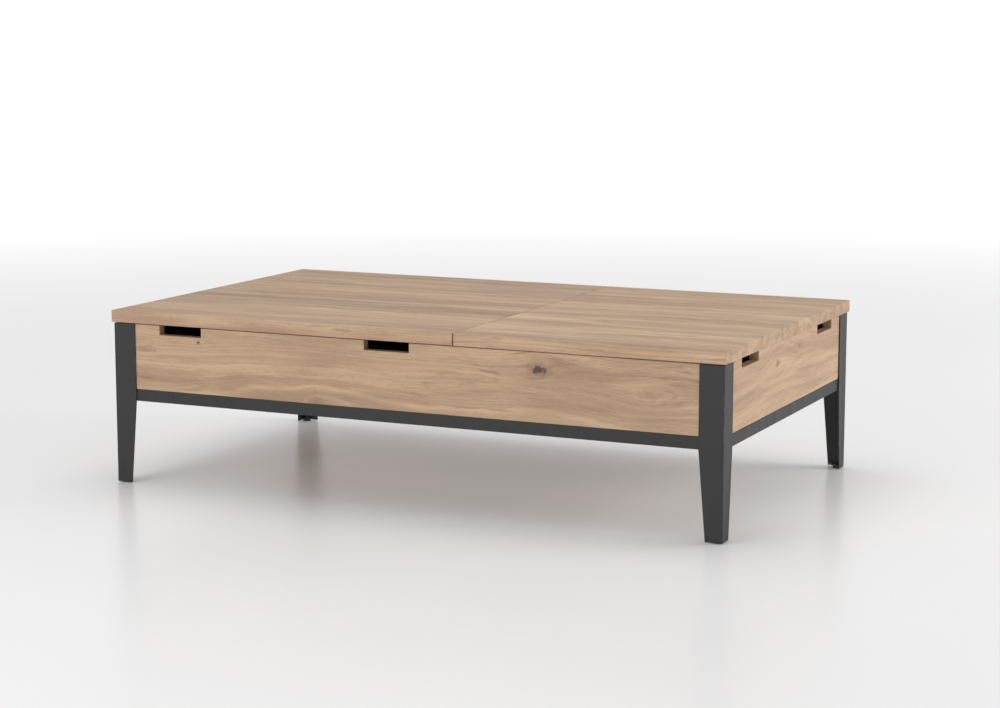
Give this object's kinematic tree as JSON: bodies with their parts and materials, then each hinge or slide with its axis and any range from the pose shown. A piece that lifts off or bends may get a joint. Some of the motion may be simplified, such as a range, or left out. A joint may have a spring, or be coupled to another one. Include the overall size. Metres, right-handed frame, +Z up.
{
  "type": "lift top coffee table",
  "caption": "Oak lift top coffee table on an angle steel frame; each lid rises on a parallelogram lift, the long one to the front, the short one to the end, over storage.",
  "frame": {"origin": "on the floor under the middle of the table, which is the middle of the bottom of its box", "axes": "+X along the table towards the end of the shorter right lid, +Y to the rear, +Z up; the front, with its two notches, faces -Y"},
  "size_m": [1.35, 0.8, 0.365],
  "materials": {
    "oak_top": "oiled oak, satin",
    "oak_box": "oiled oak, satin",
    "inner_wood": "plain oak, matte",
    "frame_steel": "dark grey powder coat, semi matte",
    "mechanism_steel": "black stoved paint, satin",
    "zinc_hardware": "zinc plated",
    "spring_steel": "oiled spring wire",
    "bumper_rubber": "matte",
    "glide_plastic": "matte"
  },
  "bodies": {
    "root": {"leg_front_left": "frame_steel", "leg_front_right": "frame_steel", "leg_rear_left": "frame_steel", "leg_rear_right": "frame_steel", "front_rail": "frame_steel", "rear_rail": "frame_steel", "left_rail": "frame_steel", "right_rail": "frame_steel", "centre_cross_rail": "frame_steel", "foot_plates": "frame_steel", "floor_glides": "glide_plastic", "box_screws": "zinc_hardware", "front_apron": "oak_box", "rear_apron": "oak_box", "left_apron": "oak_box", "right_apron": "oak_box", "partition": "inner_wood", "left_bottom_panel": "inner_wood", "right_bottom_panel": "inner_wood", "corner_blocks": "inner_wood", "lid_bumpers": "bumper_rubber", "front_lift_base_plate_left": "mechanism_steel", "front_lift_base_plate_right": "mechanism_steel", "front_lift_base_screws": "zinc_hardware", "front_lift_base_pins": "zinc_hardware", "front_lift_springs": "spring_steel", "front_lift_stop_studs": "zinc_hardware", "end_lift_base_plate_front": "mechanism_steel", "end_lift_base_plate_rear": "mechanism_steel", "end_lift_base_screws": "zinc_hardware", "end_lift_base_pins": "zinc_hardware", "end_lift_springs": "spring_steel", "end_lift_stop_studs": "zinc_hardware"},
    "front_drive": {"front_lift_drive_arm_left": "mechanism_steel", "front_lift_drive_arm_right": "mechanism_steel", "front_lift_cross_tube": "mechanism_steel", "front_lift_spring_cups": "mechanism_steel"},
    "front_follower": {"front_lift_follower_arm_left": "mechanism_steel", "front_lift_follower_arm_right": "mechanism_steel"},
    "front_lid": {"left_lid": "oak_top", "front_lift_bracket_left": "mechanism_steel", "front_lift_bracket_right": "mechanism_steel", "front_lift_bracket_screws": "zinc_hardware", "front_lift_top_pins": "zinc_hardware"},
    "end_drive": {"end_lift_drive_arm_front": "mechanism_steel", "end_lift_drive_arm_rear": "mechanism_steel", "end_lift_cross_tube": "mechanism_steel", "end_lift_spring_cups": "mechanism_steel"},
    "end_follower": {"end_lift_follower_arm_front": "mechanism_steel", "end_lift_follower_arm_rear": "mechanism_steel"},
    "end_lid": {"right_lid": "oak_top", "end_lift_bracket_front": "mechanism_steel", "end_lift_bracket_rear": "mechanism_steel", "end_lift_bracket_screws": "zinc_hardware", "end_lift_top_pins": "zinc_hardware"}
  },
  "joints": [
    {"name": "front_lift", "type": "hinge", "parent": "root", "child": "front_drive", "pos_m": [0, 0.05954, 0.24953], "axis": [1, 0, 0], "range_deg": [0, 90]},
    {"name": "front_follower_hinge", "type": "hinge", "parent": "root", "child": "front_follower", "pos_m": [0, -0.05046, 0.24953], "axis": [1, 0, 0], "range_deg": [0, 90]},
    {"name": "front_lid_hinge", "type": "hinge", "parent": "front_drive", "child": "front_lid", "pos_m": [0, 0.33, 0.322], "axis": [1, 0, 0], "range_deg": [-90, 0]},
    {"name": "end_lift", "type": "hinge", "parent": "root", "child": "end_drive", "pos_m": [0.43846, 0, 0.24953], "axis": [0, 1, 0], "range_deg": [0, 90]},
    {"name": "end_follower_hinge", "type": "hinge", "parent": "root", "child": "end_follower", "pos_m": [0.54846, 0, 0.24953], "axis": [0, 1, 0], "range_deg": [0, 90]},
    {"name": "end_lid_hinge", "type": "hinge", "parent": "end_drive", "child": "end_lid", "pos_m": [0.168, 0, 0.322], "axis": [0, 1, 0], "range_deg": [-90, 0]}
  ],
  "couplings": [
    {"joint": "front_follower_hinge", "follows": "front_lift", "ratio": 1},
    {"joint": "front_lid_hinge", "follows": "front_lift", "ratio": -1},
    {"joint": "end_follower_hinge", "follows": "end_lift", "ratio": 1},
    {"joint": "end_lid_hinge", "follows": "end_lift", "ratio": -1}
  ]
}
